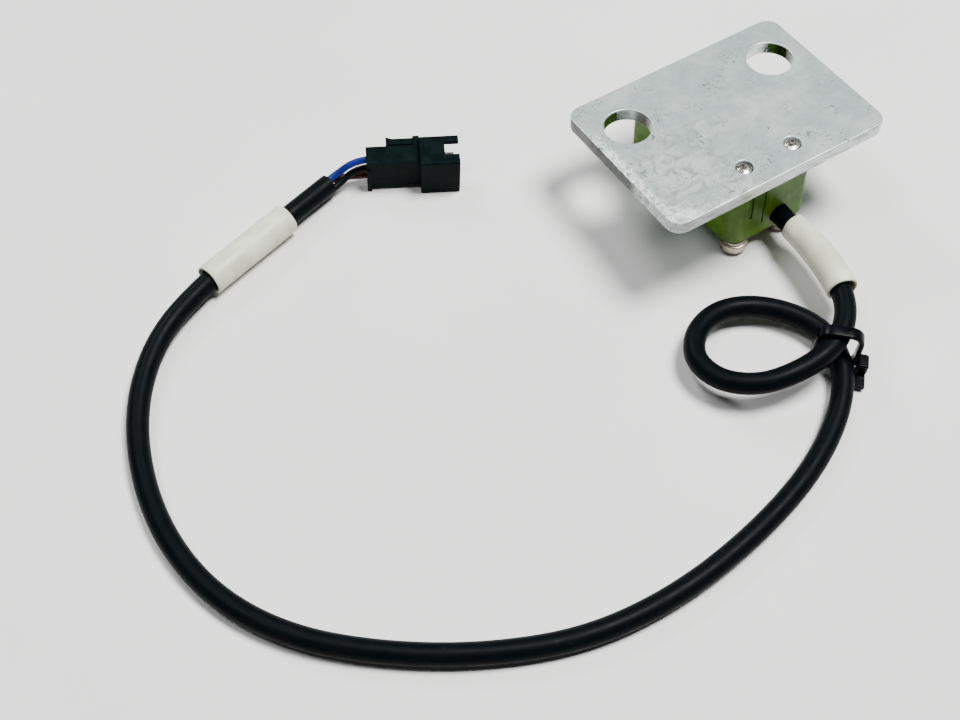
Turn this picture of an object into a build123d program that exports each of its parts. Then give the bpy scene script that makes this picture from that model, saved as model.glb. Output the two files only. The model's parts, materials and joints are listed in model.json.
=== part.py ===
"""Inductive lock sensor on its bracket plate, with a tied cable and a three-way plug. Millimetres.

The sensor, its plate and its screws are built in a level frame: origin on the plate's underside at its
centre, +X along the plate, +Z up. The REST location then sets them down as they lie on a table, on the
two screw heads and the lower edge under the sensing face. The cable and the plug are built in the table
frame, where z = 0 is the table.
"""
from build123d import *
import os
from math import atan2, cos, degrees, pi, radians, sin, tan

# Bracket plate
PLATE_LENGTH = 53.0
PLATE_WIDTH = 38.0
PLATE_THICKNESS = 2.9
PLATE_CORNER = 3.2
FIXING_RADIUS = 4.85
FIXING_X = 18.1
FIXING_Y = 8.65

# Sensor housing
HOUSING_WIDTH = 19.4
HOUSING_X = 0.65
HOUSING_HEIGHT = 17.0
SENSING_Y = 19.0
ENTRY_Y = -15.6
SCREW_CORNER = 3.4
CABLE_CORNER = 1.4
SENSING_CORNER = 1.6
EDGE = 0.4
WALL = 1.45
CAVITY_BACK = -9.5
CAVITY_FRONT = SENSING_Y - 1.2
CAVITY_HALF = HOUSING_WIDTH / 2 - WALL
CAVITY_FLOOR = WALL - HOUSING_HEIGHT
RESIN = 1.5
MOULD_GROOVES = [(-4.1, 0.7, -11.0), (-0.9, 0.4, -13.7)]
GROOVE_DEPTH = 0.3
BOARD_Z = -8.4
BOARD_THICKNESS = 0.8
LEDGE = 0.7
CORE_RADIUS = 6.8
CORE_DEPTH = 4.8
CORE_Z = -8.6

# Screws
SCREW_X = 6.0
SCREWS_MIDDLE = 0.3
SCREW_Y = -13.25
SCREW_RADIUS = 1.5
HOLE_RADIUS = 1.7
THREAD_RADIUS = 1.53
HEAD_RADIUS = 2.95
HEAD_HEIGHT = 2.2
WASHER_THICKNESS = 0.8
TIP_BELOW_FACE = 0.1

# Cable
CABLE_RADIUS = 2.2
CABLE_X = 3.5
CABLE_Z = -13.6
SOCKET_DEPTH = 1.0
CORE_WIRE_RADIUS = 0.55
LEAD_RADIUS = 0.75
SLEEVE_OUTER = 3.25
SLEEVE_INNER = 2.8

# Plug: its own frame has x from the wire end to the mouth and z up from the table
PLUG_PLACE = Location((-62.18, 38.43, 0), (0, 0, -27.2))
PLUG_REAR_LENGTH = 11.2
PLUG_LENGTH = 19.4
PLUG_REAR_HALF = 2.32
PLUG_HEIGHT = 9.6
PLUG_SHELL_LOW = -4.04
PLUG_SHELL_HIGH = 3.6
PLUG_WALL = 0.8
PLUG_STEP = 1.15
PITCH = 2.5
CAVITY_RADIUS = 1.02
PIN_HALF = 0.45
LEVER_PIVOT = (10.5, 4.3)
LEVER_OUT = 0.45
LEVER_IN = 1.15
LEVER_END = 4.3
LEVER_LOW = 1.75
LEVER_HIGH = 7.85

HEAD_DROP = WASHER_THICKNESS + HEAD_HEIGHT
TILT = atan2(HEAD_DROP, SENSING_Y - SCREW_Y - HEAD_RADIUS)
REST_Z = (SENSING_Y - EDGE) * sin(TILT) + (HOUSING_HEIGHT - EDGE) * cos(TILT) + EDGE
REST = Location((0, -PLATE_THICKNESS / 2 * sin(TILT), REST_Z), (-degrees(TILT), 0, 0))

# The cable's route over the table, from its socket in the housing to the end of its jacket
ROUTE = [
    (3.5, -16.057, 6.766), (3.5, -25.27, 7.71), (2.9, -34.6, 8.25), (0.1, -42.8, 8.4), (-5.3, -47.9, 8.4),
    (-11.4, -49.9, 8.1), (-18.4, -49.8, 7.4), (-25.3, -48.0, 6.5), (-31.0, -42.8, 5.7), (-31.9, -35.6, 5.0),
    (-26.6, -30.0, 4.5), (-18.4, -28.9, 4.1), (-10.4, -33.4, 3.7), (-5.0, -41.6, 3.5), (-5.6, -50.4, 3.3),
    (-13.0, -59.2, 2.4), (-26.6, -66.8, 2.2), (-44.0, -71.6, 2.2), (-62.6, -73.9, 2.2), (-80.8, -72.3, 2.2),
    (-97.6, -65.6, 2.2), (-112.6, -56.2, 2.2), (-125.2, -45.0, 2.2), (-133.0, -31.8, 2.2),
    (-135.7, -17.0, 2.2), (-133.7, -1.6, 2.2), (-127.6, 12.9, 2.3), (-117.6, 23.9, 2.9),
    (-104.4, 30.05, 3.25), (-86.5, 35.2, 3.25), (-70.6, 39.57, 3.25),
]

# Marker sleeves: three points on the curved one's axis, and the two ends of the straight one's
SENSOR_SLEEVE = [(3.5, -21.35, 7.3), (3.25, -30.8, 8.04), (1.5, -39.7, 8.4)]
PLUG_SLEEVE = [(-103.2, 30.41, 3.25), (-82.4, 36.25, 3.25)]

# Cable tie: a strap round both strands where they cross
TIE_CENTRE = (-6.6, -48.7, 5.87)
TIE_TURN = -42.0
TIE_INNER = (7.6, 9.9)
TIE_STRAP = 0.85
TIE_WIDTH = 2.5
TIE_CORNER = 2.2


def block(x0, x1, y0, y1, z0, z1):
    """A box between two corners."""
    size = (x1 - x0, y1 - y0, z1 - z0)
    return Pos((x0 + x1) / 2, (y0 + y1) / 2, (z0 + z1) / 2) * Box(*size)


def rod(x, y, z0, z1, radius):
    """A cylinder along Z."""
    return Pos(x, y, (z0 + z1) / 2) * Cylinder(radius, z1 - z0)


def rod_y(x, z, y0, y1, radius):
    """A cylinder along Y."""
    return Pos(x, (y0 + y1) / 2, z) * Rot(90, 0, 0) * Cylinder(radius, y1 - y0)


def rod_x(y, z, x0, x1, radius):
    """A cylinder along X."""
    return Pos((x0 + x1) / 2, y, z) * Rot(0, 90, 0) * Cylinder(radius, x1 - x0)


def arc_radii(points):
    """The largest radius that each inner corner of a route takes from its two runs."""
    radii = []
    for before, here, after in zip(points, points[1:], points[2:]):
        come = Vector(*here) - Vector(*before)
        go = Vector(*after) - Vector(*here)
        half_turn = radians(come.get_angle(go)) / 2
        radii.append(0.45 * min(come.length, go.length) / tan(half_turn))
    return radii


def tube(points, radius, radii):
    """A round solid along straight runs joined by tangent arcs."""
    path = FilletPolyline(*points, radius=radii)
    start = Vector(*points[0])
    heading = Vector(*points[1]) - start
    return sweep(Plane(origin=start, z_dir=heading) * Circle(radius), path=path), path.length


def mounting_plate():
    plate = Pos(0, 0, PLATE_THICKNESS / 2) * Box(PLATE_LENGTH, PLATE_WIDTH, PLATE_THICKNESS)
    plate = fillet(plate.edges().filter_by(Axis.Z), PLATE_CORNER)
    for side in (-1, 1):
        plate -= rod(side * FIXING_X, FIXING_Y, -1, PLATE_THICKNESS + 1, FIXING_RADIUS)
        plate -= rod(SCREWS_MIDDLE + side * SCREW_X, SCREW_Y, -1, PLATE_THICKNESS + 1, THREAD_RADIUS)
        mouth = Cone(THREAD_RADIUS, THREAD_RADIUS + 0.35, 0.35)
        plate -= Pos(SCREWS_MIDDLE + side * SCREW_X, SCREW_Y, PLATE_THICKNESS - 0.175) * mouth
    return plate


def sensor_housing():
    """A moulded case open towards the plate, with a solid screw block and a socket for the cable."""
    half = HOUSING_WIDTH / 2
    case = block(-half, half, ENTRY_Y, SENSING_Y, -HOUSING_HEIGHT, 0)
    near = case.edges().filter_by(Axis.Z).sort_by(Axis.Y)[:2].sort_by(Axis.X)
    case = fillet(near[0], SCREW_CORNER)
    right = case.edges().filter_by(Axis.Z).filter_by_position(Axis.X, half - 0.1, half + 0.1)
    case = fillet(right.sort_by(Axis.Y)[0], CABLE_CORNER)
    case = fillet(case.edges().filter_by(Axis.Z).sort_by(Axis.Y)[-2:], SENSING_CORNER)
    case = fillet(case.faces().sort_by(Axis.Z)[0].edges(), EDGE)
    case -= block(-CAVITY_HALF, CAVITY_HALF, CAVITY_BACK, CAVITY_FRONT, CAVITY_FLOOR, 1)
    for side in (-1, 1):
        inner = side * (CAVITY_HALF - LEDGE)
        outer = side * CAVITY_HALF
        low, high = sorted((inner, outer))
        case += block(low, high, CAVITY_BACK, 11.0, BOARD_Z - 1.0, BOARD_Z)
    case = Pos(HOUSING_X, 0, 0) * case
    for side in (-1, 1):
        case -= rod(SCREWS_MIDDLE + side * SCREW_X, SCREW_Y, -HOUSING_HEIGHT - 1, 1, HOLE_RADIUS)
    case -= rod_y(CABLE_X, CABLE_Z, ENTRY_Y - 1, ENTRY_Y + SOCKET_DEPTH, CABLE_RADIUS + 0.08)
    case -= lead_passage()
    for x, width, low in MOULD_GROOVES:
        case -= block(x - width / 2, x + width / 2, ENTRY_Y - 1, ENTRY_Y + GROOVE_DEPTH, low, 1)
    return case


def lead_passage():
    """The slanted way from the cable socket, past the screw, into the cavity."""
    start = Vector(CABLE_X + 0.2, ENTRY_Y + 0.3, CABLE_Z)
    end = Vector(CABLE_X - 2.3, CAVITY_BACK + 0.5, CABLE_Z)
    along = end - start
    return Plane(origin=start, z_dir=along) * (Pos(0, 0, along.length / 2) * Cylinder(1.7, along.length))


def potting_resin():
    """The cast layer that closes the case, flush with its rim."""
    return block(-CAVITY_HALF, CAVITY_HALF, CAVITY_BACK, CAVITY_FRONT, -RESIN, 0)


def ferrite_core():
    """Half a pot core: a cup with a centre post, its open side to the sensing face."""
    back = CAVITY_FRONT - CORE_DEPTH
    core = rod_y(0, CORE_Z, back, CAVITY_FRONT, CORE_RADIUS)
    groove = rod_y(0, CORE_Z, back + 1.4, CAVITY_FRONT + 1, 5.6) - rod_y(0, CORE_Z, back, CAVITY_FRONT + 2, 2.5)
    slot = block(-0.8, 0.8, back - 1, back + 2, CORE_Z + 2.6, CORE_Z + 5.5)
    return core - groove - slot


def coil_bobbin():
    """A thin spool that slips over the core's post."""
    back = CAVITY_FRONT - CORE_DEPTH + 1.45
    front = CAVITY_FRONT - 0.05
    spool = rod_y(0, CORE_Z, back, front, 3.0)
    spool += rod_y(0, CORE_Z, back, back + 0.4, 5.4)
    spool += rod_y(0, CORE_Z, front - 0.4, front, 5.4)
    return spool - rod_y(0, CORE_Z, back - 1, front + 1, 2.6)


def coil_winding():
    back = CAVITY_FRONT - CORE_DEPTH + 1.45 + 0.45
    front = CAVITY_FRONT - 0.05 - 0.45
    return rod_y(0, CORE_Z, back, front, 5.0) - rod_y(0, CORE_Z, back - 1, front + 1, 3.03)


def coil_leads():
    """The winding's two ends, drawn as short wires from the core's back to the board."""
    y0 = CAVITY_FRONT - CORE_DEPTH
    top = BOARD_Z + BOARD_THICKNESS
    leads = []
    for x in (-0.45, 0.45):
        points = [(x, y0 + 1.4, CORE_Z + 4.0), (x, y0 - 1.4, CORE_Z + 4.0), (x, y0 - 2.4, top)]
        leads.append(tube(points, 0.15, [0.6])[0])
    return Compound(children=leads)


def circuit_board():
    half = CAVITY_HALF - 0.1
    board = block(-half, half, CAVITY_BACK + 0.3, 11.4, BOARD_Z, BOARD_Z + BOARD_THICKNESS)
    return board


def on_board(x, y, length, width, height):
    """A part's body standing on the board's upper face."""
    z = BOARD_Z + BOARD_THICKNESS
    return block(x - length / 2, x + length / 2, y - width / 2, y + width / 2, z, z + height)


def oscillator_chip():
    """An eight-leg chip: a body on stub legs."""
    z = BOARD_Z + BOARD_THICKNESS
    chip = block(-2.0, 2.0, -1.2, 3.8, z + 0.15, z + 1.6)
    for side in (-1, 1):
        for step in range(4):
            y = -0.6 + step * 1.27
            low, high = sorted((side * 1.9, side * 3.0))
            chip += block(low, high, y - 0.2, y + 0.2, z, z + 0.5)
    return chip


def output_transistor():
    z = BOARD_Z + BOARD_THICKNESS
    body = block(3.4, 4.8, -6.6, -3.7, z + 0.1, z + 1.1)
    for x, y in ((3.2, -6.1), (3.2, -4.2), (5.0, -5.15)):
        body += block(x - 0.4, x + 0.4, y - 0.2, y + 0.2, z, z + 0.4)
    return body


def chip_resistors():
    places = [(-4.8, -5.5), (-4.8, -3.4), (-4.8, 5.6), (4.6, 5.6), (4.6, 7.4)]
    return Compound(children=[on_board(x, y, 1.6, 0.8, 0.5) for x, y in places])


def chip_capacitors():
    places = [(-4.6, 8.2), (4.7, 1.0), (-1.6, -6.0)]
    return Compound(children=[on_board(x, y, 2.0, 1.25, 1.0) for x, y in places])


def indicator_lamp():
    """The light on the board's cable end, seen dimly through the case."""
    return on_board(0.9, -8.2, 1.6, 0.9, 0.5) + on_board(0.9, -8.2, 0.9, 0.8, 0.9)


def inner_lead(turn, pad_x):
    """One core from the jacket's end, through the passage and up to the board's underside."""
    offset = 0.68
    x = CABLE_X + offset * cos(radians(turn))
    z = CABLE_Z + offset * sin(radians(turn))
    start_y = ENTRY_Y + SOCKET_DEPTH
    points = [
        (x, start_y, z),
        (x, start_y + 0.7, z),
        (x - 2.26, CAVITY_BACK + 0.6, z),
        (pad_x, CAVITY_BACK + 2.9, z + 0.4),
        (pad_x, CAVITY_BACK + 3.1, BOARD_Z),
    ]
    return tube(points, CORE_WIRE_RADIUS, [0.8, 0.8, 0.7])[0]


def mounting_screw():
    """A pan-head screw, head down, with a cross recess."""
    under = -HOUSING_HEIGHT - WASHER_THICKNESS
    head = rod(0, 0, under - HEAD_HEIGHT, under, HEAD_RADIUS)
    head = fillet(head.faces().sort_by(Axis.Z)[0].edges(), EDGE)
    shank = rod(0, 0, under, PLATE_THICKNESS - TIP_BELOW_FACE, SCREW_RADIUS)
    shank = chamfer(shank.faces().sort_by(Axis.Z)[-1].edges(), 0.3)
    low = under - HEAD_HEIGHT
    cross = block(-1.5, 1.5, -0.28, 0.28, low - 1, low + 1.1) + block(-0.28, 0.28, -1.5, 1.5, low - 1, low + 1.1)
    return head + shank - cross


def mounting_screws():
    screw = mounting_screw()
    return Compound(children=[Pos(SCREWS_MIDDLE + side * SCREW_X, SCREW_Y, 0) * screw for side in (-1, 1)])


def spring_washers():
    """Split washers, flattened under the screw heads."""
    low = -HOUSING_HEIGHT - WASHER_THICKNESS
    ring = rod(0, 0, low, -HOUSING_HEIGHT, 2.6) - rod(0, 0, low - 1, 0, SCREW_RADIUS + 0.1)
    split = Pos(2.1, 0, low + 0.4) * Rot(35, 0, 0) * Box(2.4, 0.3, 2.4)
    ring -= split
    places = [(-SCREW_X, 200), (SCREW_X, 75)]
    return Compound(children=[Pos(SCREWS_MIDDLE + x, SCREW_Y, 0) * Rot(0, 0, turn) * ring for x, turn in places])


def sleeve(axis):
    """A loose length of marker tubing on the cable."""
    ring = Circle(SLEEVE_OUTER) - Circle(SLEEVE_INNER)
    return sweep(Plane(origin=axis @ 0, z_dir=axis % 0) * ring, path=axis)


def cable_tie():
    """A strap round both strands with its lock, and the trimmed end that stands out of it."""
    wide, high = TIE_INNER
    outer = RectangleRounded(wide + 2 * TIE_STRAP, high + 2 * TIE_STRAP, TIE_CORNER + TIE_STRAP)
    strap = extrude(outer - RectangleRounded(wide, high, TIE_CORNER), amount=TIE_WIDTH / 2, both=True)
    side = wide / 2 + TIE_STRAP
    lock = block(side - 0.15, side + 2.1, -4.6, -1.6, -0.6, 2.6)
    lock = fillet(lock.edges().filter_by(Axis.Y), 0.5)
    end = block(side + 0.05, side + 1.95, -5.3, -4.3, 0, 5.6)
    place = Location(TIE_CENTRE, (0, 0, TIE_TURN)) * Location((0, 0, 0), (90, 0, 0))
    return place * (strap + lock + end)


def plug_wire(level, turn):
    """One insulated core from the jacket's end into its cavity in the plug."""
    end = Vector(*ROUTE[-1])
    along = (end - Vector(*ROUTE[-2])).normalized()
    side = Vector(-along.Y, along.X, 0)
    start = end + side * (1.3 * cos(radians(turn))) + Vector(0, 0, 1.3 * sin(radians(turn)))
    entry = PLUG_PLACE * Pos(2.5, 0, level)
    mouth = PLUG_PLACE * Pos(-2.2, 0, level)
    points = [tuple(start), tuple(start + along * 2.6), tuple(mouth.position), tuple(entry.position)]
    return tube(points, LEAD_RADIUS, arc_radii(points))[0]


def cavity_level(row):
    """Height of a plug cavity: row -1 is the lowest and 1 the highest."""
    return PLUG_HEIGHT / 2 + row * PITCH


def connector_housing():
    """The shrouded plug body: a slim rear with three cavities and a wider open shell."""
    body = block(0, PLUG_REAR_LENGTH + 1, -PLUG_REAR_HALF, PLUG_REAR_HALF, PLUG_STEP, PLUG_HEIGHT - PLUG_STEP)
    shell = block(PLUG_REAR_LENGTH, PLUG_LENGTH, PLUG_SHELL_LOW, PLUG_SHELL_HIGH, 0, PLUG_HEIGHT)
    shell = fillet(shell.edges().filter_by(Axis.X), 0.5)
    body += shell
    body += block(0.05, 0.95, -PLUG_REAR_HALF, -PLUG_REAR_HALF + 1.4, 0, PLUG_STEP + 1)
    body += block(0.05, 0.95, -PLUG_REAR_HALF - 0.45, -PLUG_REAR_HALF + 1, 0, 6.2)
    x, y = LEVER_PIVOT
    for low, high in ((PLUG_STEP, LEVER_LOW - 0.1), (LEVER_HIGH + 0.1, PLUG_HEIGHT - PLUG_STEP)):
        body += block(x - 0.6, PLUG_REAR_LENGTH + 0.1, 2, y + LEVER_OUT, low, high)
    inside = PLUG_REAR_LENGTH + 1.2
    low, high = PLUG_SHELL_LOW + PLUG_WALL, PLUG_SHELL_HIGH - PLUG_WALL
    body -= block(inside, PLUG_LENGTH + 1, low, high, PLUG_WALL, PLUG_HEIGHT - PLUG_WALL)
    body -= block(PLUG_LENGTH - 3.0, PLUG_LENGTH + 1, -1.65, 1.72, PLUG_HEIGHT - PLUG_WALL - 1, PLUG_HEIGHT + 1)
    body -= block(PLUG_LENGTH - 3.0, PLUG_LENGTH + 1, 1, PLUG_SHELL_HIGH + 1, 2.3, 7.4)
    for row in (-1, 0, 1):
        body -= rod_x(0, cavity_level(row), -1, inside + 1, CAVITY_RADIUS)
    return PLUG_PLACE * body


def latch_lever():
    """The sprung lever on the plug's far side, with a thumb wedge and a catch, on a round root."""
    x, y = LEVER_PIVOT
    lever = block(LEVER_END, x, y - LEVER_IN, y + LEVER_OUT, LEVER_LOW, LEVER_HIGH)
    lever += rod(x, y, LEVER_LOW, LEVER_HIGH, 0.6)
    outside = y + LEVER_OUT
    wedge = Polyline((LEVER_END, outside - 0.1), (LEVER_END, outside + 0.55), (LEVER_END + 1.6, outside - 0.1), close=True)
    lever += Pos(0, 0, LEVER_LOW) * extrude(make_face(wedge), LEVER_HIGH - LEVER_LOW)
    lever += block(7.2, 8.4, y, outside + 0.35, LEVER_LOW + 1.6, LEVER_HIGH - 1.6)
    return PLUG_PLACE * lever


def contact_pins():
    """Three contacts: a crimp barrel on the core and a square pin into the shell."""
    pins = []
    for row in (-1, 0, 1):
        z = cavity_level(row)
        barrel = rod_x(0, z, 2.5, 12.2, 0.98)
        pin = block(12.0, 18.4, -PIN_HALF, PIN_HALF, z - PIN_HALF, z + PIN_HALF)
        pin = chamfer(pin.faces().sort_by(Axis.X)[-1].edges(), 0.2)
        pins.append(PLUG_PLACE * (barrel + pin))
    return Compound(children=pins)


def cable_jacket():
    radii = arc_radii(ROUTE)
    jacket, length = tube(ROUTE, CABLE_RADIUS, radii)
    print("cable arc radii:", " ".join(f"{radius:.1f}" for radius in radii))
    print(f"cable length {length:.1f}, solid over section x length {jacket.volume / (pi * CABLE_RADIUS**2 * length):.4f}")
    return jacket


def level_nodes():
    """The pieces built in the level frame."""
    inside = [
        potting_resin, ferrite_core, coil_bobbin, coil_winding, coil_leads, circuit_board, oscillator_chip,
        output_transistor, chip_resistors, chip_capacitors, indicator_lamp,
    ]
    nodes = {make.__name__: Pos(HOUSING_X, 0, 0) * make() for make in inside}
    return nodes | {
        "mounting_plate": mounting_plate(),
        "sensor_housing": sensor_housing(),
        "inner_lead_blue": inner_lead(90, 3.8),
        "inner_lead_black": inner_lead(210, 0.4),
        "inner_lead_brown": inner_lead(330, 2.2),
        "mounting_screws": mounting_screws(),
        "spring_washers": spring_washers(),
    }


def table_nodes():
    """The cable and what is on it, built where they lie."""
    return {
        "cable_jacket": cable_jacket(),
        "marker_sleeve_sensor_end": sleeve(ThreePointArc(*SENSOR_SLEEVE)),
        "marker_sleeve_plug_end": sleeve(Line(*PLUG_SLEEVE)),
        "cable_tie": cable_tie(),
        "wire_blue": plug_wire(cavity_level(1), 90),
        "wire_black": plug_wire(cavity_level(0), 210),
        "wire_brown": plug_wire(cavity_level(-1), 330),
        "connector_housing": connector_housing(),
        "latch_lever": latch_lever(),
        "contact_pins": contact_pins(),
    }


def main():
    nodes = {name: REST * shape for name, shape in level_nodes().items()}
    nodes.update(table_nodes())
    os.makedirs("parts", exist_ok=True)
    for name, shape in nodes.items():
        export_step(shape, f"parts/{name}.step")
    return nodes


main()
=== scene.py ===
"""The looks of an inductive lock sensor on its bracket plate, with its tied cable and its plug.

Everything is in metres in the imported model's frame. Sizes in millimetres are named values times MM.
"""

import json
from math import cos, pi, radians, sin

import bmesh
import bpy
from mathutils import Matrix, Vector, noise


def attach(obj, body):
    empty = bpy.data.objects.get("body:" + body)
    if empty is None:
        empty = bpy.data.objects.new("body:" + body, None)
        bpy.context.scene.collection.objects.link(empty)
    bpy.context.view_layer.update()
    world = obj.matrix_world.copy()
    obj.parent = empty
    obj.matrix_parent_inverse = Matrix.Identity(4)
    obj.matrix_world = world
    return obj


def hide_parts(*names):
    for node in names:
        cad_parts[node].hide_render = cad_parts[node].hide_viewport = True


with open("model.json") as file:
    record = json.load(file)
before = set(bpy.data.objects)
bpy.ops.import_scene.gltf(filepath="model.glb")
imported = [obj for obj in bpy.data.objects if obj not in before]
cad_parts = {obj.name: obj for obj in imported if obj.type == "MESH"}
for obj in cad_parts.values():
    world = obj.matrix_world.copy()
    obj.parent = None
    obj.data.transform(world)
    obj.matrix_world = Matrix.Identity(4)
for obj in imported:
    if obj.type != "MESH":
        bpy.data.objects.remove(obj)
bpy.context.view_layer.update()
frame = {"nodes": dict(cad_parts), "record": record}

MM = 0.001

# Camera: its place, its right and up directions, and its lens in millimetres
CAMERA_AT = (-0.15846, -0.14700, 0.25687)
CAMERA_RIGHT = (0.84608, -0.53243, 0.02593)
CAMERA_UP = (0.43741, 0.72125, 0.53709)
CAMERA_LENS = 57.96

# The cable's route, as in the CAD model, in millimetres
CABLE_DIAMETER = 4.4
ROUTE = [
    (3.5, -16.057, 6.766), (3.5, -25.27, 7.71), (2.9, -34.6, 8.25), (0.1, -42.8, 8.4), (-5.3, -47.9, 8.4),
    (-11.4, -49.9, 8.1), (-18.4, -49.8, 7.4), (-25.3, -48.0, 6.5), (-31.0, -42.8, 5.7), (-31.9, -35.6, 5.0),
    (-26.6, -30.0, 4.5), (-18.4, -28.9, 4.1), (-10.4, -33.4, 3.7), (-5.0, -41.6, 3.5), (-5.6, -50.4, 3.3),
    (-13.0, -59.2, 2.4), (-26.6, -66.8, 2.2), (-44.0, -71.6, 2.2), (-62.6, -73.9, 2.2), (-80.8, -72.3, 2.2),
    (-97.6, -65.6, 2.2), (-112.6, -56.2, 2.2), (-125.2, -45.0, 2.2), (-133.0, -31.8, 2.2),
    (-135.7, -17.0, 2.2), (-133.7, -1.6, 2.2), (-127.6, 12.9, 2.3), (-117.6, 23.9, 2.9),
    (-104.4, 30.05, 3.25), (-86.5, 35.2, 3.25), (-70.6, 39.57, 3.25),
]

# Marker sleeves: three points on each one's axis, in millimetres
SENSOR_SLEEVE = [(3.5, -21.35, 7.3), (3.25, -30.8, 8.04), (1.5, -39.7, 8.4)]
PLUG_SLEEVE = [(-103.2, 30.41, 3.25), (-92.8, 33.33, 3.25), (-82.4, 36.25, 3.25)]
SLEEVE_OUTER = 3.25
SLEEVE_INNER = 2.8

# Cable tie, in millimetres
TIE_CENTRE = (-6.6, -48.7, 5.87)
TIE_TURN = -42.0
TIE_INNER = (7.6, 9.9)
TIE_STRAP = 0.85
TIE_WIDTH = 2.5
TIE_CORNER = 2.2

# Plug and its leads, in millimetres
LEAD_RADIUS = 0.75
PITCH = 2.5
PLUG_MIDDLE = 4.8

# Plate and its screws, in millimetres
PLATE_CORNER = 3.2
PLATE_RIM = 0.28
PLATE_STEP = 0.5
SCREW_HEAD = 2.95
SCREW_HEAD_HIGH = 2.2
SCREW_RADIUS = 1.5
THREAD_PITCH = 0.5
TAPPED_MOUTH = 1.78

# A steep face this near a bored hole's middle is the hole's wall, in metres
HOLE_REACH = 0.0052

# Three points count as being on a line below this sine of the angle between them
STRAIGHT = 1e-4

# Plain plastics: colour, roughness, grain and relief in millimetres, change of tone, specular level
PLASTICS = {
    "potting": ((0.03, 0.03, 0.028), 0.2, 0.2, 0.01, 0.25, 0.5),
    "ferrite": ((0.06, 0.06, 0.065), 0.6, 0.1, 0.02, 0.25, 0.5),
    "bobbin_nylon": ((0.66, 0.61, 0.48), 0.45, 0.2, 0.01, 0.25, 0.5),
    "board_laminate": ((0.02, 0.16, 0.05), 0.35, 0.4, 0.01, 0.25, 0.5),
    "chip_black": ((0.02, 0.02, 0.022), 0.55, 0.08, 0.01, 0.25, 0.5),
    "lamp_lens": ((0.6, 0.05, 0.02), 0.15, 0.2, 0.01, 0.25, 0.5),
    "wire_blue_pvc": ((0.003, 0.011, 0.13), 0.4, 0.3, 0.01, 0.2, 0.12),
    "wire_brown_pvc": ((0.060, 0.018, 0.009), 0.4, 0.3, 0.01, 0.2, 0.12),
    "wire_black_pvc": ((0.002, 0.003, 0.004), 0.4, 0.3, 0.01, 0.2, 0.08),
    "tie_nylon": ((0.0012, 0.0015, 0.0026), 0.28, 0.25, 0.01, 0.25, 0.06),
    "plug_nylon": ((0.0022, 0.0056, 0.0054), 0.34, 0.12, 0.012, 0.25, 0.025),
}


def level_frame():
    """The matrix of the tipped plate: X along it, Z out of its upper face, which is at z = 0."""
    mount = next(m for m in frame["record"]["mounts"] if m["name"] == "plate_face")
    up = Vector(mount["axis"]).normalized()
    along = Vector((1, 0, 0))
    across = up.cross(along)
    origin = Vector(mount["pos_m"])
    origin -= across * origin.dot(across)
    origin += across * level_middle(across)
    turned = Matrix((along, across, up)).transposed().to_4x4()
    return Matrix.Translation(origin) @ turned


def level_middle(across):
    """Where the plate's middle lies along its short direction."""
    reach = [v.co.dot(across) for v in frame["nodes"]["mounting_plate"].data.vertices]
    return (min(reach) + max(reach)) / 2


LEVEL = level_frame()


def plug_frame():
    """The matrix of the plug: X from its wire end to its mouth, Z up, its wire end at x = 0 on the table."""
    mount = next(m for m in frame["record"]["mounts"] if m["name"] == "plug_mouth")
    along = Vector(mount["axis"]).normalized()
    up = Vector((0, 0, 1))
    across = up.cross(along)
    points = [v.co for v in frame["nodes"]["connector_housing"].data.vertices]
    rear = min(p.dot(along) for p in points)
    pin = [v.co.dot(across) for v in frame["nodes"]["contact_pins"].data.vertices]
    origin = along * rear + across * (min(pin) + max(pin)) / 2
    turned = Matrix((along, across, up)).transposed().to_4x4()
    return Matrix.Translation(origin) @ turned


PLUG = plug_frame()


def level_box(node):
    """A CAD node's lowest and highest corner in the plate's frame, in millimetres."""
    inverse = LEVEL.inverted()
    points = [inverse @ v.co / MM for v in frame["nodes"][node].data.vertices]
    low = Vector(min(p[i] for p in points) for i in range(3))
    high = Vector(max(p[i] for p in points) for i in range(3))
    return low, high


# ---------------------------------------------------------------- materials


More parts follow.
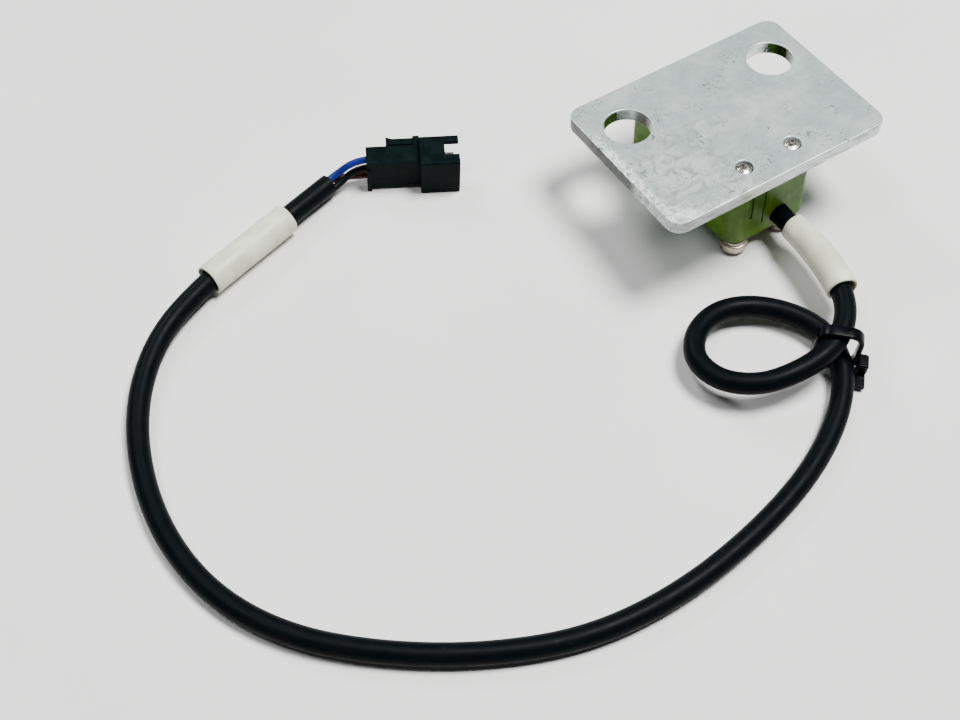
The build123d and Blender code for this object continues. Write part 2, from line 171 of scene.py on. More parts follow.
class Finish:
    """A Principled material, with short ways to lay patterns on it in the model's own coordinates."""

    def __init__(self, name, colour, roughness, metallic=0.0, **sockets):
        self.material = bpy.data.materials.new(name)
        self.material.use_nodes = True
        self.nodes = self.material.node_tree.nodes
        self.links = self.material.node_tree.links
        self.shader = self.nodes["Principled BSDF"]
        self.shader.inputs["Base Color"].default_value = (*colour, 1)
        self.shader.inputs["Roughness"].default_value = roughness
        self.shader.inputs["Metallic"].default_value = metallic
        for socket, value in sockets.items():
            self.shader.inputs[socket.replace("_", " ")].default_value = value
        where = self.nodes.new("ShaderNodeTexCoord")
        self.place = where.outputs["Object"]
        self.normal = where.outputs["Normal"]
        self.material.diffuse_color = (*colour, 1)

    def put(self, socket, value):
        """Links a socket's value, or sets a number or a colour."""
        if isinstance(value, bpy.types.NodeSocket):
            self.links.new(value, socket)
        else:
            socket.default_value = value

    def stretched(self, factors):
        """The coordinates with each axis scaled, for patterns that run one way."""
        node = self.nodes.new("ShaderNodeMapping")
        node.inputs["Scale"].default_value = factors
        self.links.new(self.place, node.inputs["Vector"])
        return node.outputs["Vector"]

    def noise(self, size_mm, detail=4.0, roughness=0.55, distortion=0.0, place=None):
        """Cloudy noise whose lumps are about size_mm across."""
        node = self.nodes.new("ShaderNodeTexNoise")
        self.links.new(place or self.place, node.inputs["Vector"])
        node.inputs["Scale"].default_value = 1 / (size_mm * MM)
        node.inputs["Detail"].default_value = detail
        node.inputs["Roughness"].default_value = roughness
        node.inputs["Distortion"].default_value = distortion
        return node.outputs["Fac"]

    def axis(self, index, of=None):
        """One coordinate of the place, or of another vector."""
        node = self.nodes.new("ShaderNodeSeparateXYZ")
        self.links.new(of or self.place, node.inputs[0])
        return node.outputs[index]

    def facing(self, index):
        """How far the surface faces along one of the model's axes, from -1 to 1."""
        return self.axis(index, self.normal)

    def distance(self, centre):
        """Distance from a line along Z through centre."""
        node = self.nodes.new("ShaderNodeVectorMath")
        node.operation = "DISTANCE"
        flat = self.stretched((1.0, 1.0, 0.0))
        self.links.new(flat, node.inputs[0])
        node.inputs[1].default_value = (centre[0], centre[1], 0)
        return node.outputs["Value"]

    def span(self, value, low, high, to_low=0.0, to_high=1.0):
        """value carried smoothly from low..high to to_low..to_high."""
        node = self.nodes.new("ShaderNodeMapRange")
        node.interpolation_type = "SMOOTHSTEP"
        for socket, number in zip(node.inputs[:5], (value, low, high, to_low, to_high)):
            self.put(socket, number)
        return node.outputs["Result"]

    def calc(self, operation, *values):
        """One sum on one or two values."""
        node = self.nodes.new("ShaderNodeMath")
        node.operation = operation
        for socket, value in zip(node.inputs, values):
            self.put(socket, value)
        return node.outputs[0]

    def times(self, a, b):
        return self.calc("MULTIPLY", a, b)

    def mix(self, amount, a, b):
        """Colour a where amount is 0, and b where it is 1."""
        node = self.nodes.new("ShaderNodeMix")
        node.data_type = "RGBA"
        self.put(node.inputs["Factor"], amount)
        self.put(node.inputs[6], a if isinstance(a, bpy.types.NodeSocket) else (*a, 1))
        self.put(node.inputs[7], b if isinstance(b, bpy.types.NodeSocket) else (*b, 1))
        return node.outputs[2]

    def colour(self, value):
        self.links.new(value, self.shader.inputs["Base Color"])

    def roughness(self, value):
        self.links.new(value, self.shader.inputs["Roughness"])

    def bump(self, *layers):
        """Relief from (height, depth in millimetres) pairs."""
        normal = None
        for height, depth in layers:
            node = self.nodes.new("ShaderNodeBump")
            node.inputs["Distance"].default_value = depth * MM
            self.links.new(height, node.inputs["Height"])
            if normal:
                self.links.new(normal, node.inputs["Normal"])
            normal = node.outputs["Normal"]
        self.links.new(normal, self.shader.inputs["Normal"])


def zinc_stains(f, base):
    """Darker mottling over the handled quarter at low X and low Y, and small grey-green stains all over."""
    handled = f.times(f.span(f.axis(0), 0.004, -0.014), f.span(f.axis(1), 0.008, -0.004))
    mottle = f.times(f.span(f.noise(3.0, 6, 0.68, 1.0), 0.50, 0.60), f.times(handled, 0.8))
    base = f.mix(mottle, base, (0.27, 0.325, 0.305))
    stains = f.times(f.span(f.noise(5.0, 5, 0.7, 1.2), 0.54, 0.64), f.span(f.noise(0.9, 4, 0.7), 0.46, 0.6))
    return f.mix(f.times(stains, 0.5), base, (0.21, 0.25, 0.21))


def zinc_chalk(f):
    """Where white chalk lies: on the worn rim at low X, and over its near corner."""
    corner = f.span(f.calc("ADD", f.axis(0), f.times(f.axis(1), 1.2)), -0.034, -0.050)
    edge = f.times(f.span(f.axis(0), -0.0236, -0.0260), f.span(f.axis(1), 0.012, 0.004))
    return f.times(f.calc("MAXIMUM", corner, edge), f.span(f.noise(1.1, 6, 0.7, 0.6), 0.42, 0.56))


def zinc_nicks(f):
    """Where dark curly nicks lie: thin broken lines, in clusters."""
    cluster = f.span(f.noise(5.5, 3), 0.53, 0.64)
    curls = f.calc("ABSOLUTE", f.calc("SUBTRACT", f.noise(1.5, 3, 0.6, 1.4), 0.5))
    broken = f.times(f.span(f.noise(1.0, 3, 0.6), 0.46, 0.56), cluster)
    return f.times(f.span(curls, 0.045, 0.015), broken)


def zinc_sides(f, base):
    """The sheared side at low X, painted dark as shade as far as its burr, and the near side, painted pale as
    a reflection of the bright table top, with smears of grime.
    """
    # Painted shade: the sheared side at low X is darkened, less so towards its burr at the near corner.
    wander = f.times(f.calc("SUBTRACT", f.noise(2.5, 4, 0.6), 0.5), 0.010)
    shade_reach = f.span(f.calc("ADD", f.axis(1), wander), -0.0065, -0.0035, 0.12, 1.0)
    sheared = f.times(f.span(f.facing(0), -0.70, -0.90), shade_reach)
    base = f.mix(f.times(sheared, 0.92), base, (0.050, 0.050, 0.044))
    near_side = f.span(f.facing(1), -0.7, -0.9)
    grime = f.span(f.noise(2.2, 4, 0.6, 0.0, f.stretched((0.45, 1.0, 2.0))), 0.52, 0.64)
    # Painted reflection: the near side is made pale, as if it mirrored the bright table top in front of it.
    base = f.mix(f.times(near_side, 0.45), base, (0.80, 0.84, 0.82))
    return f.mix(f.times(f.times(near_side, grime), 0.6), base, (0.17, 0.19, 0.17))


def hole_walls(f):
    """Where a surface is the wall of one of the plate's two bored holes."""
    centres = [mount["pos_m"] for mount in frame["record"]["mounts"] if mount["kind"] == "bore"]
    bored = [f.span(f.distance(centre), HOLE_REACH, HOLE_REACH * 0.98) for centre in centres]
    return f.times(f.calc("MAXIMUM", *bored), f.span(f.facing(2), 0.6, 0.3))


def zinc_finish():
    """Dull blue-white zinc: clouds, stains, chalk, nicks, sides with painted shade and a painted reflection,
    and bright bored holes.
    """
    f = Finish("zinc_plate", (0.50, 0.58, 0.56), 0.42, metallic=0.5)
    clouds = f.noise(9.0, 6, 0.6, 0.4)
    fine = f.noise(1.6, 6, 0.65)
    chalk = zinc_chalk(f)
    nicks = zinc_nicks(f)
    base = f.mix(f.span(clouds, 0.36, 0.66), (0.38, 0.465, 0.45), (0.53, 0.62, 0.605))
    base = f.mix(f.span(fine, 0.5, 0.7, 0.0, 0.4), base, (0.36, 0.425, 0.40))
    base = zinc_stains(f, base)
    base = f.mix(f.times(chalk, 0.8), base, (0.82, 0.87, 0.85))
    base = f.mix(f.times(nicks, 0.9), base, (0.085, 0.105, 0.09))
    f.colour(zinc_sides(f, base))
    walls = hole_walls(f)
    f.links.new(f.span(walls, 0.0, 1.0, 0.5, 1.0), f.shader.inputs["Metallic"])
    dull = f.span(f.calc("ADD", fine, chalk), 0.35, 1.1, 0.34, 0.62)
    f.roughness(f.times(dull, f.span(walls, 0.0, 1.0, 1.0, 0.3)))
    scratches = f.noise(0.35, 3, 0.6, 0.0, f.stretched((1.0, 0.08, 1.0)))
    f.bump((clouds, 0.05), (fine, 0.035), (scratches, 0.012), (nicks, 0.03), (chalk, 0.05))
    return f.material


def housing_finish():
    """Olive green moulding: satin, faintly mottled, with painted highlights in long light streaks that run
    upright.
    """
    f = Finish("green_housing", (0.095, 0.175, 0.010), 0.34, Specular_IOR_Level=0.14)
    clouds = f.noise(6.0, 4, 0.55)
    highlight_streaks = f.noise(1.4, 3, 0.5, 0.3, f.stretched((1.0, 1.0, 0.12)))
    base = f.mix(f.span(clouds, 0.35, 0.68), (0.052, 0.120, 0.006), (0.098, 0.190, 0.012))
    # Painted highlights: the light green upright streaks.
    base = f.mix(f.span(highlight_streaks, 0.54, 0.70, 0.0, 0.5), base, (0.165, 0.255, 0.045))
    smudges = f.times(f.span(f.noise(2.4, 4, 0.6, 0.8), 0.54, 0.68), 0.45)
    base = f.mix(smudges, base, (0.035, 0.085, 0.006))
    f.colour(base)
    f.roughness(f.span(highlight_streaks, 0.3, 0.7, 0.28, 0.46))
    f.bump((f.noise(0.22, 3, 0.6), 0.008), (highlight_streaks, 0.02))
    return f.material


def nickel_finish(name, colour, roughness):
    """Plated steel, slightly yellowed, with turned rings and small stains."""
    f = Finish(name, colour, roughness, metallic=1.0)
    rings = f.noise(0.18, 2, 0.5, 0.0, f.stretched((0.15, 0.15, 1.0)))
    stains = f.noise(1.1, 5, 0.65, 0.5)
    dark = tuple(c * 0.55 for c in colour)
    f.colour(f.mix(f.span(stains, 0.46, 0.68, 0.0, 0.85), colour, dark))
    f.roughness(f.span(stains, 0.35, 0.7, roughness * 0.8, roughness * 1.6))
    f.bump((rings, 0.012), (stains, 0.01))
    return f.material


def screw_finish():
    """Plated steel screws: brownish turned heads below, brighter cut tips above with painted glints and
    painted dark reflections in patches.
    """
    f = Finish("screw_steel", (0.46, 0.40, 0.31), 0.34, metallic=1.0)
    tip = f.span(f.axis(2), 0.017, 0.019)
    stains = f.noise(0.8, 5, 0.65, 0.5)
    head = f.mix(f.span(stains, 0.42, 0.66), (0.50, 0.44, 0.35), (0.27, 0.23, 0.17))
    # Painted highlights and painted dark reflections: the cut steel tips are patched near-white and dark
    # brown by the stains noise.
    cut = f.mix(f.span(stains, 0.44, 0.54), (0.93, 0.91, 0.82), (0.20, 0.18, 0.14))
    f.colour(f.mix(tip, head, cut))
    f.roughness(f.span(tip, 0.0, 1.0, 0.40, 0.30))
    rings = f.noise(0.22, 2, 0.5, 0.0, f.stretched((0.12, 0.12, 1.0)))
    f.bump((rings, 0.03), (stains, 0.03))
    return f.material


def jacket_finish():
    """Black jacket: satin, finely pebbled, with a little dust."""
    f = Finish("cable_pvc", (0.0014, 0.0026, 0.0031), 0.42, Specular_IOR_Level=0.035)
    grain = f.noise(0.16, 3, 0.6)
    lumps = f.noise(3.5, 4, 0.5)
    dust = f.times(f.span(f.noise(1.0, 6, 0.75), 0.55, 0.72), f.span(lumps, 0.42, 0.62))
    f.colour(f.mix(f.times(dust, 0.3), (0.0014, 0.0026, 0.0031), (0.016, 0.019, 0.020)))
    f.roughness(f.span(lumps, 0.3, 0.7, 0.36, 0.48))
    f.bump((grain, 0.012), (lumps, 0.05))
    return f.material


def sleeve_finish():
    """Ivory marker tubing: waxy, slightly see-through, with faint grime."""
    f = Finish("sleeve_ivory", (0.60, 0.61, 0.48), 0.46, Subsurface_Weight=0.15)
    f.shader.inputs["Subsurface Radius"].default_value = (0.8 * MM, 0.7 * MM, 0.4 * MM)
    f.shader.inputs["Subsurface Scale"].default_value = 1.0
    clouds = f.noise(4.0, 5, 0.6)
    specks = f.noise(0.5, 3, 0.6)
    base = f.mix(f.span(clouds, 0.35, 0.7), (0.52, 0.53, 0.41), (0.66, 0.67, 0.55))
    base = f.mix(f.span(specks, 0.62, 0.78, 0.0, 0.35), base, (0.33, 0.32, 0.24))
    f.colour(base)
    f.roughness(f.span(clouds, 0.3, 0.7, 0.38, 0.56))
    f.bump((f.noise(0.25, 3, 0.6), 0.01), (clouds, 0.05))
    return f.material


def plastic_finish(name, colour, roughness, grain_mm, relief, variation, specular):
    """Moulded or extruded plastic: a slow change of tone and a fine even grain."""
    f = Finish(name, colour, roughness, Specular_IOR_Level=specular)
    tone = f.noise(3.0, 4, 0.6)
    low = tuple(c * (1 - variation) for c in colour)
    high = tuple(min(1.0, c * (1 + variation)) for c in colour)
    f.colour(f.mix(f.span(tone, 0.35, 0.65), low, high))
    f.roughness(f.span(tone, 0.3, 0.7, roughness * 0.85, roughness * 1.2))
    f.bump((f.noise(grain_mm, 3, 0.6), relief))
    return f.material


def winding_finish():
    """Enamelled copper wire laid in turns round the coil's axis."""
    f = Finish("copper", (0.62, 0.24, 0.08), 0.32, metallic=1.0)
    turns = f.noise(0.2, 1, 0.4, 0.0, f.stretched((0.1, 1.0, 0.1)))
    f.colour(f.mix(f.span(turns, 0.35, 0.65), (0.42, 0.14, 0.04), (0.75, 0.34, 0.12)))
    f.bump((turns, 0.05))
    return f.material


def floor_finish():
    """Pale paper-like table top."""
    f = Finish("floor", (0.74, 0.735, 0.73), 0.75)
    tone = f.noise(60.0, 3, 0.5)
    f.colour(f.mix(f.span(tone, 0.3, 0.7), (0.72, 0.715, 0.71), (0.76, 0.755, 0.75)))
    f.bump((f.noise(1.2, 4, 0.6), 0.03))
    return f.material


def build_finishes():
    """One finish for each of the record's material slots."""
    return {
        "zinc_plate": zinc_finish(),
        "green_housing": housing_finish(),
        "screw_steel": screw_finish(),
        "spring_steel": nickel_finish("spring_steel", (0.42, 0.38, 0.32), 0.32),
        "tin_contact": nickel_finish("tin_contact", (0.66, 0.62, 0.54), 0.22),
        "copper": winding_finish(),
        "cable_pvc": jacket_finish(),
        "sleeve_ivory": sleeve_finish(),
        **{slot: plastic_finish(slot, *values) for slot, values in PLASTICS.items()},
    }


# ---------------------------------------------------------------- pieces


def finish_piece(piece, slot, body, *replaced):
    """Gives a piece its material, its body and the CAD nodes that it stands for."""
    piece.data.materials.clear()
    piece.data.materials.append(finishes[slot])
    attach(piece, body)
    if replaced:
        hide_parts(*replaced)
    return piece


def new_piece(name, mesh):
    """A mesh or a curve, put into the scene."""
    piece = bpy.data.objects.new(name, mesh)
    bpy.context.scene.collection.objects.link(piece)
    return piece


def smooth(mesh):
    """Rounds the shading over every face."""
    for face in mesh.polygons:
        face.use_smooth = True


def weigh_normals(piece):
    """Keeps flat faces flat beside their rounded edges."""
    modifier = piece.modifiers.new("normals", "WEIGHTED_NORMAL")
    modifier.weight = 60


def softened(node, radius_mm, slot, body):
    """A CAD node's shape with its sharp edges rounded, which stands for that node."""
    shape = bmesh.new()
    shape.from_mesh(frame["nodes"][node].data)
    bmesh.ops.remove_doubles(shape, verts=shape.verts, dist=0.002 * MM)
    bmesh.ops.dissolve_limit(shape, angle_limit=radians(1.0), verts=shape.verts, edges=shape.edges)
    mesh = bpy.data.meshes.new(node + "_detailed")
    shape.to_mesh(mesh)
    shape.free()
    smooth(mesh)
    piece = new_piece(node + "_detailed", mesh)
    bevel = piece.modifiers.new("edges", "BEVEL")
    bevel.width = radius_mm * MM
    bevel.segments = 2
    bevel.limit_method = "ANGLE"
    bevel.angle_limit = radians(35)
    bevel.use_clamp_overlap = True
    weigh_normals(piece)
    return finish_piece(piece, slot, body, node)


def spline_curve(name, points_mm, radius_mm, around, along):
    """A round cord: a quadratic NURBS line through a list of control points."""
    data = bpy.data.curves.new(name, "CURVE")
    data.dimensions = "3D"
    data.bevel_depth = radius_mm * MM
    data.bevel_resolution = around
    data.use_fill_caps = True
    data.resolution_u = along
    line = data.splines.new("NURBS")
    line.points.add(len(points_mm) - 1)
    for point, place in zip(line.points, points_mm):
        point.co = (*(Vector(place) * MM), 1)
    line.order_u = 3
    line.use_endpoint_u = True
    return new_piece(name, data)


def arc_through(a, b, c, steps):
    """Points and directions at even steps on the round arc, or the line, through three points."""
    u, v = b - a, c - a
    w = u.cross(v)
    if w.length < STRAIGHT * u.length * v.length:
        along = (c - a).normalized()
        return [(a.lerp(c, i / steps), along) for i in range(steps + 1)]
    centre = a + (w.cross(u) * v.length_squared + v.cross(w) * u.length_squared) / (2 * w.length_squared)
    axis = w.normalized()
    whole = (a - centre).angle(c - centre)
    found = []
    for i in range(steps + 1):
        arm = Matrix.Rotation(whole * i / steps, 3, axis) @ (a - centre)
        found.append((centre + arm, axis.cross(arm).normalized()))
    return found


def ring_mesh(name, rings, closed_tube=True):
    """A mesh from rings of points, each joined to the next, and the last to the first when closed."""
    mesh = bpy.data.meshes.new(name)
    count = len(rings[0])
    verts = [p for ring in rings for p in ring]
    faces = []
    last = len(rings) if closed_tube else len(rings) - 1
    for i in range(last):
        for j in range(count):
            a, b = i * count, ((i + 1) % len(rings)) * count
            k = (j + 1) % count
            faces.append((a + j, a + k, b + k, b + j))
    mesh.from_pydata(verts, [], faces)
    mesh.update()
    shape = bmesh.new()
    shape.from_mesh(mesh)
    bmesh.ops.recalc_face_normals(shape, faces=shape.faces)
    shape.to_mesh(mesh)
    shape.free()
    smooth(mesh)
    return mesh


def sleeve_profile(first_outer, first_inner):
    """(place along, radius in mm) round one wall of a cut tube that widens from its first end."""
    soft = 0.12
    outer, inner = SLEEVE_OUTER - 0.02, SLEEVE_INNER + 0.02
    stations = [0.0, 0.06, 0.12, 0.2, 0.3, 0.4, 0.5, 0.6, 0.7, 0.8, 0.88, 0.94, 1.0]
    outside = [(t, widened(t, first_outer, outer)) for t in stations]
    inside = [(t, widened(t, first_inner, inner)) for t in reversed(stations)]
    outside[0] = (0.0, first_outer - soft)
    outside[-1] = (1.0, outer - soft)
    outside.insert(1, (0.01, first_outer))
    outside.insert(-1, (0.99, outer))
    return outside + inside


def widened(t, first, last):
    """The radius at t: first at the start, and last from about the middle on."""
    return first + (last - first) * sin(min(1.0, t / 0.55) * pi / 2)


def marker_sleeve(node, axis_points, body, seed, first_outer, first_inner):
    """A cut length of soft tubing: not quite round, with slightly uneven ends."""
    a, b, c = (Vector(p) * MM for p in axis_points)
    line = arc_through(a, b, c, 100)
    around = 48
    unevenness = 0.004
    rings = []
    for t, radius in sleeve_profile(first_outer, first_inner):
        centre, along = line[round(t * 100)]
        side = along.cross(Vector((0, 0, 1))).normalized()
        up = side.cross(along)
        ring = []
        for j in range(around):
            angle = 2 * pi * j / around
            out = side * cos(angle) + up * sin(angle)
            lump = noise.noise(Vector((cos(angle) * 1.3, sin(angle) * 1.3, t * 3 + seed)))
            thick = radius * (1 - unevenness + unevenness * lump)
            cut = 0.0
            if t in (0.0, 1.0):
                cut = 0.10 * noise.noise(Vector((cos(angle), sin(angle), seed + t * 7)))
            ring.append(centre + (out * thick + along * cut) * MM)
        rings.append(ring)
    piece = new_piece(node + "_tube", ring_mesh(node + "_tube", rings))
    return finish_piece(piece, "sleeve_ivory", body, node)


def tie_place():
    """The tie's own frame: X and Y in the strap's plane, Y up, Z along the cable."""
    turn = Matrix.Rotation(radians(TIE_TURN), 4, "Z") @ Matrix.Rotation(radians(90), 4, "X")
    return Matrix.Translation(Vector(TIE_CENTRE) * MM) @ turn


def strap_line(steps_on_corner=8, steps_on_side=10):
    """Points and outward directions round the strap's inner face, in millimetres."""
    half_x, half_y = TIE_INNER[0] / 2, TIE_INNER[1] / 2
    bends = [(half_x, half_y), (-half_x, half_y), (-half_x, -half_y), (half_x, -half_y)]
    line = []
    for index, (x, y) in enumerate(bends):
        centre = Vector((x - TIE_CORNER * (1 if x > 0 else -1), y - TIE_CORNER * (1 if y > 0 else -1)))
        for i in range(steps_on_corner + 1):
            angle = radians(90 * index + 90 * i / steps_on_corner)
            out = Vector((cos(angle), sin(angle)))
            line.append((centre + out * TIE_CORNER, out))
        nx, ny = bends[(index + 1) % 4]
        out = Vector((cos(angle), sin(angle)))
        start = line[-1][0]
        side = Vector((nx, ny)) - Vector((x, y))
        run = side.length - 2 * TIE_CORNER
        for i in range(1, steps_on_side):
            line.append((start + side.normalized() * run * i / steps_on_side, out))
    return line


def strap_section():
    """(out, across) in millimetres round the strap's section: flat inside, rounded outside."""
    half, thick, soft = TIE_WIDTH / 2, TIE_STRAP, 0.28
    points = [(0.03, -half + 0.08), (0.03, half - 0.08), (0.12, half)]
    for i in range(5):
        angle = radians(90 * i / 4)
        points.append((thick - soft + soft * sin(angle), half - soft + soft * cos(angle)))
    for i in range(5):
        angle = radians(90 * i / 4)
        points.append((thick - soft + soft * cos(angle), -half + soft - soft * sin(angle)))
    points.append((0.12, -half))
    return points


def rounded_block(low, high, radius, segments=3):
    """A bmesh box between two corners with rounded edges, all in millimetres."""
    shape = bmesh.new()
    bmesh.ops.create_cube(shape, size=1.0)
    low, high = Vector(low), Vector(high)
    for vert in shape.verts:
        vert.co = Vector((low[i] + (vert.co[i] + 0.5) * (high[i] - low[i]) for i in range(3)))
    bmesh.ops.bevel(
        shape, geom=shape.edges[:], offset=radius, offset_type="OFFSET", segments=segments, profile=0.5,
        affect="EDGES",
    )
    return shape


def joined(name, shapes, place):
    """One mesh from several bmesh shapes in millimetres, set in a frame."""
    whole = bmesh.new()
    for shape in shapes:
        part = bpy.data.meshes.new("part")
        shape.to_mesh(part)
        shape.free()
        whole.from_mesh(part)
        bpy.data.meshes.remove(part)
    bmesh.ops.transform(whole, matrix=place @ Matrix.Scale(MM, 4), verts=whole.verts)
    mesh = bpy.data.meshes.new(name)
    whole.to_mesh(mesh)
    whole.free()
    smooth(mesh)
    return mesh


def cable_tie():
    """The strap, its lock with the pawl's slot, and the trimmed end with its teeth."""
    place = tie_place()
    section = strap_section()
    rings = []
    for at, out in strap_line():
        rings.append([place @ (Vector((*(at + out * o), z)) * MM) for o, z in section])
    strap = new_piece("cable_tie_strap", ring_mesh("cable_tie_strap", rings))
    finish_piece(strap, "tie_nylon", "sensor", "cable_tie")
    side = TIE_INNER[0] / 2 + TIE_STRAP
    lock = rounded_block((side - 0.15, -4.58, -0.58), (side + 2.1, -1.62, 2.58), 0.45)
    lip = rounded_block((side + 0.05, -2.0, -0.3), (side + 1.6, -1.3, 2.1), 0.2)
    end = rounded_block((side + 0.07, -5.28, 0.05), (side + 1.93, -4.3, 5.58), 0.25)
    teeth = []
    for i in range(4):
        z = 3.1 + i * 0.6
        teeth.append(rounded_block((side + 0.5, -4.4, z), (side + 1.5, -4.22, z + 0.3), 0.08, 2))
    piece = new_piece("cable_tie_lock", joined("cable_tie_lock", [lock, lip, end, *teeth], place))
    weigh_normals(piece)
    finish_piece(piece, "tie_nylon", "sensor")
    return [strap, piece]


def plate_outline(low, high):
    """The plate's outline at even steps, nicked and dented along its worn short edge, in millimetres."""
    cx, cy = high[0] - PLATE_CORNER, high[1] - PLATE_CORNER
    bends = [(cx, cy, 0), (-cx, cy, 90), (-cx, -cy, 180), (cx, -cy, 270)]
    points = []
    for index, (x, y, start) in enumerate(bends):
        for i in range(16):
            angle = radians(start + 6 * i)
            points.append(Vector((x + PLATE_CORNER * cos(angle), y + PLATE_CORNER * sin(angle), 0)))
        nx, ny, turn = bends[(index + 1) % 4]
        angle = radians(turn)
        goal = Vector((nx + PLATE_CORNER * cos(angle), ny + PLATE_CORNER * sin(angle), 0))
        count = max(2, round((goal - points[-1]).length / PLATE_STEP))
        begin = points[-1].copy()
        points += [begin.lerp(goal, i / count) for i in range(1, count)]
    return [nicked(p, low, high) for p in points]


def nicked(point, low, high):
    """A point of the outline moved in by the sheared edge's small dents."""
    wear = edge_wear(point, low, high)
    waves = noise.noise(Vector((point.x * 0.55, point.y * 0.55, 3.1)))
    chips = max(0.0, noise.noise(Vector((point.x * 1.7, point.y * 1.7, 9.7))) - 0.15)
    depth = 0.02 + 0.04 * waves + wear * (0.10 * waves + 0.55 * chips)
    inward = Vector((-point.x / high[0], -point.y / high[1], 0))
    if abs(point.x) > high[0] - 0.6:
        inward.y *= 0.1
    if abs(point.y) > high[1] - 0.6:
        inward.x *= 0.1
    return point + inward * max(0.0, depth)


def edge_wear(point, low, high):
    """How worn the plate's rim is there: most on the short edge at low X, up to its near corner."""
    near = 1 - min(1.0, max(0.0, (point.x - low[0]) / 6.0))
    along = min(1.0, max(0.0, (high[1] * 0.5 - point.y) / 8.0))
    before_corner = min(1.0, max(0.0, (point.y - low[1] - PLATE_CORNER) / 3.0))
    return near * along * before_corner


def mounting_plate():
    """The sheared and plated bracket: rounded rims, a worn edge with a burr, and its four holes."""
    low, high = level_box("mounting_plate")
    data = bpy.data.curves.new("plate_outline", "CURVE")
    data.dimensions = "2D"
    data.fill_mode = "BOTH"
    data.extrude = (high.z - low.z) / 2 - PLATE_RIM
    data.bevel_depth = PLATE_RIM
    data.bevel_resolution = 2
    add_loop(data, plate_outline(low, high), PLATE_RIM)
    for x, y, radius in plate_holes():
        add_loop(data, circle(x, y, radius, 0, 72), -PLATE_RIM)
    carrier = bpy.data.objects.new("plate_outline", data)
    mesh = bpy.data.meshes.new_from_object(carrier)
    bpy.data.objects.remove(carrier)
    mesh.name = "mounting_plate_worn"
    shape = bmesh.new()
    shape.from_mesh(mesh)
    bmesh.ops.remove_doubles(shape, verts=shape.verts, dist=0.003)
    middle = (high.z + low.z) / 2
    for vert in shape.verts:
        wear = edge_wear(vert.co, low, high)
        burr = noise.noise(Vector((vert.co.x * 0.9, vert.co.y * 0.9, 1.3)))
        on_rim = abs(vert.co.x) > high.x - 0.7 or abs(vert.co.y) > high.y - 0.7
        if on_rim and vert.co.z > 0:
            vert.co.z += wear * (0.10 * burr - 0.05)
        vert.co.z += middle
    bmesh.ops.transform(shape, matrix=LEVEL @ Matrix.Scale(MM, 4), verts=shape.verts)
    bmesh.ops.recalc_face_normals(shape, faces=shape.faces)
    shape.to_mesh(mesh)
    shape.free()
    mesh.materials.clear()
    smooth(mesh)
    piece = new_piece("mounting_plate_worn", mesh)
    weigh_normals(piece)
    return finish_piece(piece, "zinc_plate", "sensor", "mounting_plate")


def circle(x, y, radius, z, count):
    """Evenly spaced points round an upright axis."""
    turns = [2 * pi * i / count for i in range(count)]
    return [Vector((x + radius * cos(turn), y + radius * sin(turn), z)) for turn in turns]


def add_loop(data, points, inset):
    """A closed straight-sided loop of a flat curve, drawn in so that its bevel ends on the points."""
    line = data.splines.new("POLY")
    line.points.add(len(points) - 1)
    centre = sum(points, Vector()) / len(points)
    for i, (point, place) in enumerate(zip(line.points, points)):
        before, after = points[i - 1], points[(i + 1) % len(points)]
        out = (after - before).cross(Vector((0, 0, 1))).normalized()
        if out.dot(place - centre) < 0:
            out.negate()
        point.co = (*(place - out * inset), 1)
    line.use_cyclic_u = True


def plate_holes():
    """(x, y, radius) of the plate's round holes in its own frame, in millimetres."""
    holes = []
    for mount in frame["record"]["mounts"]:
        if mount["kind"] == "bore":
            place = LEVEL.inverted() @ Vector(mount["pos_m"]) / MM
            holes.append((place.x, place.y, mount["dims"]["r_mm"]))
    return holes + [(x, y, TAPPED_MOUTH) for x, y in screw_places()]


def screw_places():
    """The two screws' axes in the plate's frame, from the box round both, in millimetres."""
    low, high = level_box("mounting_screws")
    y = (low.y + high.y) / 2
    return [(low.x + SCREW_HEAD, y), (high.x - SCREW_HEAD, y)]


def screw_shape(x, y, base, tip):
    """A turned pan-head screw, head down, its tip cut and rolled, in the plate's frame in millimetres."""
    under = base + SCREW_HEAD_HIGH
    profile = [
        (0.0, base + 1.0), (0.5, base + 1.0), (0.75, base + 0.04), (1.9, base), (2.4, base + 0.05),
        (2.75, base + 0.2), (2.92, base + 0.5), (SCREW_HEAD, base + 0.9), (SCREW_HEAD, under - 0.5),
        (SCREW_HEAD - 0.03, under - 0.12), (SCREW_HEAD - 0.14, under), (SCREW_RADIUS, under),
        (SCREW_RADIUS, tip - 2.2),
    ]
    z = tip - 2.1
    while z < tip - 0.55:
        profile += [(SCREW_RADIUS - 0.22, z), (SCREW_RADIUS, z + THREAD_PITCH / 2)]
        z += THREAD_PITCH
    profile += [(SCREW_RADIUS - 0.1, tip - 0.4), (SCREW_RADIUS - 0.35, tip - 0.1), (SCREW_RADIUS - 0.55, tip)]
    profile += [(0.45, tip - 0.03), (0.0, tip - 0.06)]
    rings = [circle(x, y, max(radius, 0.004), height, 40) for radius, height in profile]
    shape = bmesh.new()
    shape.from_mesh(ring_mesh("screw", rings, closed_tube=False))
    bmesh.ops.holes_fill(shape, edges=[e for e in shape.edges if e.is_boundary])
    return shape


def mounting_screws():
    """The two screws that hold the block, which are one piece of the picture."""
    low, high = level_box("mounting_screws")
    shapes = [screw_shape(x, y, low.z, high.z) for x, y in screw_places()]
    piece = new_piece("mounting_screws_turned", joined("mounting_screws_turned", shapes, LEVEL))
    return finish_piece(piece, "screw_steel", "sensor", "mounting_screws")


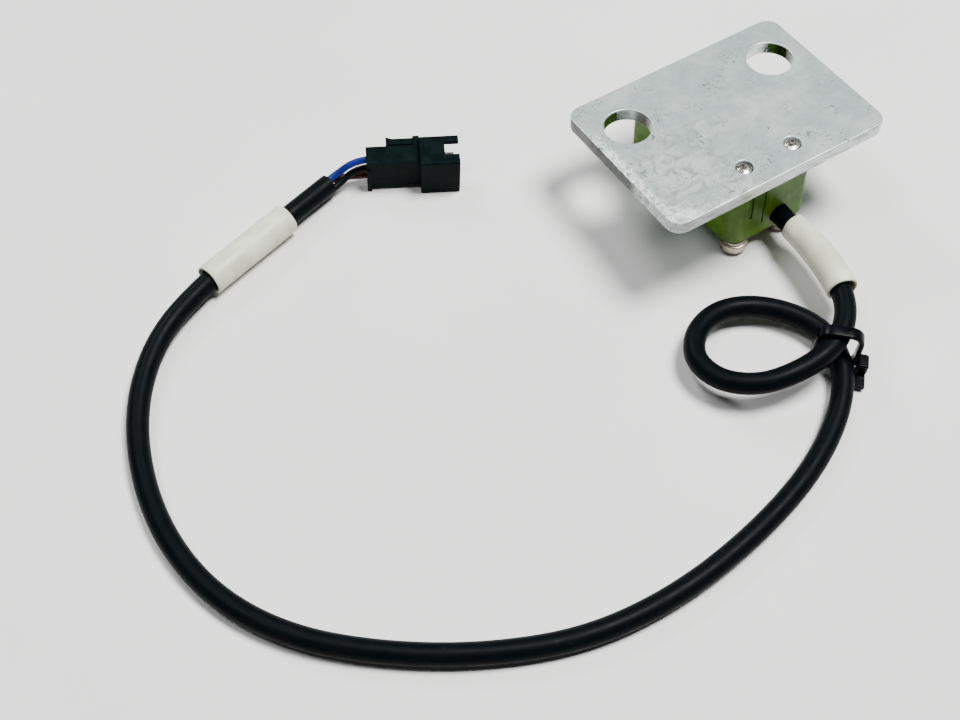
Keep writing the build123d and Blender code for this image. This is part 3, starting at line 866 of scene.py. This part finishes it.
def plug_leads():
    """The three cores between the jacket's end and the plug."""
    end = Vector(ROUTE[-1])
    along = (end - Vector(ROUTE[-2])).normalized()
    side = Vector((-along.y, along.x, 0))
    into = (PLUG.to_3x3() @ Vector((1, 0, 0))).normalized()
    rear = PLUG.translation / MM
    leads = []
    for colour, row, turn, bow in (("blue", 1, 90, 0.15), ("black", 0, 210, 0.1), ("brown", -1, 330, -0.15)):
        start = end + side * (1.3 * cos(radians(turn))) + Vector((0, 0, 1.3 * sin(radians(turn))))
        mouth = rear + Vector((0, 0, PLUG_MIDDLE + row * PITCH))
        points = [
            start - along * 0.3,
            start + along * 1.9 + Vector((0, 0, bow * 0.5)),
            mouth - into * 1.9 + Vector((0, 0, bow * 0.5)),
            mouth + into * 2.4,
        ]
        lead = spline_curve(f"wire_{colour}_core", points, LEAD_RADIUS, 4, 16)
        leads.append(finish_piece(lead, f"wire_{colour}_pvc", "sensor", f"wire_{colour}"))
    return leads


def cable():
    """The jacket, and what is on it."""
    jacket = spline_curve("cable_jacket_line", ROUTE, CABLE_DIAMETER / 2, 7, 14)
    finish_piece(jacket, "cable_pvc", "sensor", "cable_jacket")
    pieces = [
        marker_sleeve("marker_sleeve_sensor_end", SENSOR_SLEEVE, "sensor_end_sleeve", 2.0, 2.90, 2.52),
        marker_sleeve("marker_sleeve_plug_end", PLUG_SLEEVE, "plug_end_sleeve", 5.0, 3.23, 2.82),
        *cable_tie(),
        *plug_leads(),
        softened("connector_housing", 0.14, "plug_nylon", "sensor"),
        softened("latch_lever", 0.12, "plug_nylon", "latch"),
        softened("contact_pins", 0.05, "tin_contact", "sensor"),
    ]


# ---------------------------------------------------------------- studio


def camera():
    """The one camera, at the picture's place."""
    data = bpy.data.cameras.new("camera")
    data.lens = CAMERA_LENS
    data.sensor_width = 36
    data.clip_start, data.clip_end = 0.01, 20
    seat = bpy.data.objects.new("camera", data)
    right, up = Vector(CAMERA_RIGHT).normalized(), Vector(CAMERA_UP).normalized()
    turned = Matrix((right, up, right.cross(up))).transposed().to_4x4()
    seat.matrix_world = Matrix.Translation(CAMERA_AT) @ turned
    bpy.context.scene.collection.objects.link(seat)
    bpy.context.scene.camera = seat


def area_light(name, at, aim, size, power, colour=(1, 1, 1)):
    """A round lamp that faces a point."""
    data = bpy.data.lights.new(name, "AREA")
    data.shape = "DISK"
    data.size = size
    data.energy = power
    data.color = colour
    lamp = bpy.data.objects.new(name, data)
    lamp.location = at
    lamp.rotation_mode = "QUATERNION"
    lamp.rotation_quaternion = (Vector(at) - Vector(aim)).to_track_quat("Z", "Y")
    bpy.context.scene.collection.objects.link(lamp)


def studio():
    """The table top, a dim sky and three lamps."""
    mesh = bpy.data.meshes.new("floor")
    reach = 3.0
    corners = [(-reach, -reach, 0), (reach, -reach, 0), (reach, reach, 0), (-reach, reach, 0)]
    mesh.from_pydata(corners, [], [(0, 1, 2, 3)])
    mesh.materials.append(floor_finish())
    floor = new_piece("floor", mesh)
    world = bpy.data.worlds.new("studio")
    world.use_nodes = True
    world.node_tree.nodes["Background"].inputs["Color"].default_value = (0.93, 0.96, 1.0, 1)
    world.node_tree.nodes["Background"].inputs["Strength"].default_value = 0.052
    bpy.context.scene.world = world
    area_light("key", (0.38, -0.08, 1.24), (0, 0, 0), 0.50, 41.0, (1.0, 0.995, 0.98))
    area_light("back", (-0.15, 0.85, 0.75), (-0.03, -0.02, 0), 0.3, 6.5)
    area_light("second", (-0.47, 0.24, 1.2), (0, 0, 0), 0.4, 5.5)


# ---------------------------------------------------------------- assembly

finishes = build_finishes()
camera()
studio()
cable()
mounting_plate()
mounting_screws()
softened("sensor_housing", 0.1, "green_housing", "sensor")
softened("spring_washers", 0.06, "spring_steel", "sensor")
for entry in frame["record"]["subparts"]:
    node = frame["nodes"][entry["node"]]
    node.data.materials.clear()
    node.data.materials.append(finishes[entry["material_slot"]])
